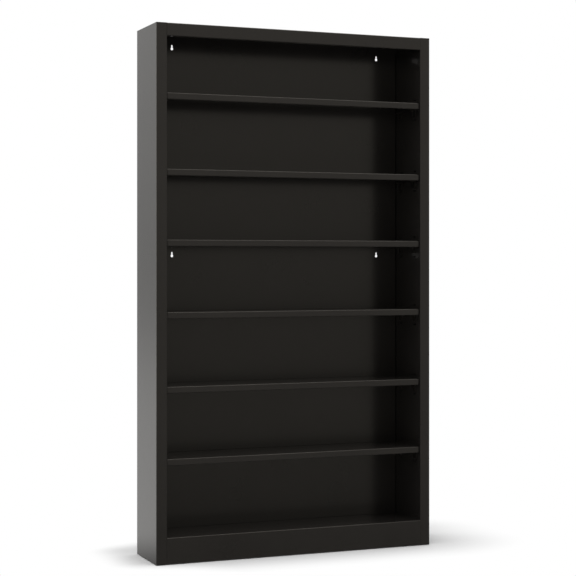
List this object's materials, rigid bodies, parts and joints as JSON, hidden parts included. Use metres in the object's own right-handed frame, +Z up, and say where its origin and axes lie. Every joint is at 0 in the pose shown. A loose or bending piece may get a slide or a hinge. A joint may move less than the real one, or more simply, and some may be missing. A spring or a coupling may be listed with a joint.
{
  "type": "cd dvd storage tower",
  "caption": "Tall black sheet-steel disc storage tower with adjustable pan shelves, framed front, plinth, and a recessed back panel with keyholes for a wall.",
  "frame": {"origin": "on the floor under the middle of the tower", "axes": "+Z up, +X to the right seen from the front, +Y to the rear; the front faces -Y"},
  "size_m": [0.743, 0.165, 1.32],
  "materials": {
    "panel_coat": "satin powder coat, black with a slightly warm cast",
    "shelf_coat": "satin powder coat, black with a slightly warm cast",
    "clip_coat": "black electro-coated steel, semi-matt",
    "screw_black": "black oxide steel, satin",
    "glide_nylon": "black moulded nylon, matt"
  },
  "bodies": {
    "root": {"left_side_panel": "panel_coat", "right_side_panel": "panel_coat", "top_panel": "panel_coat", "front_plinth": "panel_coat", "back_panel": "panel_coat", "bottom_shelf": "panel_coat", "shelf_1_clip_front_left": "clip_coat", "shelf_1_clip_front_right": "clip_coat", "shelf_1_clip_rear_left": "clip_coat", "shelf_1_clip_rear_right": "clip_coat", "shelf_2_clip_front_left": "clip_coat", "shelf_2_clip_front_right": "clip_coat", "shelf_2_clip_rear_left": "clip_coat", "shelf_2_clip_rear_right": "clip_coat", "shelf_3_clip_front_left": "clip_coat", "shelf_3_clip_front_right": "clip_coat", "shelf_3_clip_rear_left": "clip_coat", "shelf_3_clip_rear_right": "clip_coat", "shelf_4_clip_front_left": "clip_coat", "shelf_4_clip_front_right": "clip_coat", "shelf_4_clip_rear_left": "clip_coat", "shelf_4_clip_rear_right": "clip_coat", "shelf_5_clip_front_left": "clip_coat", "shelf_5_clip_front_right": "clip_coat", "shelf_5_clip_rear_left": "clip_coat", "shelf_5_clip_rear_right": "clip_coat", "shelf_6_clip_front_left": "clip_coat", "shelf_6_clip_front_right": "clip_coat", "shelf_6_clip_rear_left": "clip_coat", "shelf_6_clip_rear_right": "clip_coat", "plinth_screw_left": "screw_black", "plinth_screw_right": "screw_black", "top_screw_front_left": "screw_black", "top_screw_front_right": "screw_black", "top_screw_rear_left": "screw_black", "top_screw_rear_right": "screw_black", "bottom_shelf_screw_front_left": "screw_black", "bottom_shelf_screw_front_right": "screw_black", "bottom_shelf_screw_rear_left": "screw_black", "bottom_shelf_screw_rear_right": "screw_black", "back_screw_lower_left": "screw_black", "back_screw_lower_right": "screw_black", "back_screw_middle_left": "screw_black", "back_screw_middle_right": "screw_black", "back_screw_upper_left": "screw_black", "back_screw_upper_right": "screw_black", "glide_front_left": "glide_nylon", "glide_front_right": "glide_nylon", "glide_rear_left": "glide_nylon", "glide_rear_right": "glide_nylon"},
    "shelf_1_body": {"shelf_1": "shelf_coat"},
    "shelf_2_body": {"shelf_2": "shelf_coat"},
    "shelf_3_body": {"shelf_3": "shelf_coat"},
    "shelf_4_body": {"shelf_4": "shelf_coat"},
    "shelf_5_body": {"shelf_5": "shelf_coat"},
    "shelf_6_body": {"shelf_6": "shelf_coat"}
  },
  "joints": [
    {"name": "shelf_1_draw", "type": "slide", "parent": "root", "child": "shelf_1_body", "axis": [0, -1, 0], "range_m": [0, 0.145]},
    {"name": "shelf_2_draw", "type": "slide", "parent": "root", "child": "shelf_2_body", "axis": [0, -1, 0], "range_m": [0, 0.145]},
    {"name": "shelf_3_draw", "type": "slide", "parent": "root", "child": "shelf_3_body", "axis": [0, -1, 0], "range_m": [0, 0.145]},
    {"name": "shelf_4_draw", "type": "slide", "parent": "root", "child": "shelf_4_body", "axis": [0, -1, 0], "range_m": [0, 0.145]},
    {"name": "shelf_5_draw", "type": "slide", "parent": "root", "child": "shelf_5_body", "axis": [0, -1, 0], "range_m": [0, 0.145]},
    {"name": "shelf_6_draw", "type": "slide", "parent": "root", "child": "shelf_6_body", "axis": [0, -1, 0], "range_m": [0, 0.145]}
  ]
}
